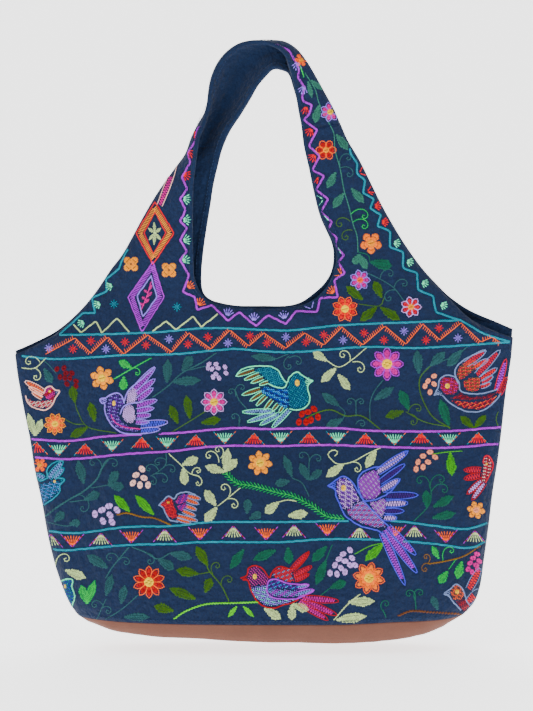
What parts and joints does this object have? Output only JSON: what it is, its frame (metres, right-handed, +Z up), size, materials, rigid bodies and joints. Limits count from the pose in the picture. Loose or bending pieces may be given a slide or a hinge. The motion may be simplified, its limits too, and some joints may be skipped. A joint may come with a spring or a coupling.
{
  "type": "embroidered bag",
  "caption": "Cloth shoulder bag with a deep U-shaped mouth, arms joined by a folded strap band, folk embroidery on both faces and a shallow leather base; hanging.",
  "frame": {"origin": "inside the fold of the strap at its top, where it lies on a shoulder or a hook", "axes": "+X to the right seen from the front, +Z up, the front panel faces -Y"},
  "size_m": [0.4581, 0.1062, 0.5491],
  "materials": {
    "embroidered_cloth": "dark navy woven cotton with coloured hand embroidery, matt",
    "plain_cloth": "plain dark navy woven cotton, matt",
    "leather": "soft pinkish-brown leather, matt with fine grain"
  },
  "bodies": {
    "root": {"front_panel": "embroidered_cloth", "back_panel": "embroidered_cloth", "shoulder_strap": "embroidered_cloth", "leather_base": "leather", "front_lining": "plain_cloth", "back_lining": "plain_cloth", "strap_lining": "plain_cloth"}
  },
  "joints": []
}
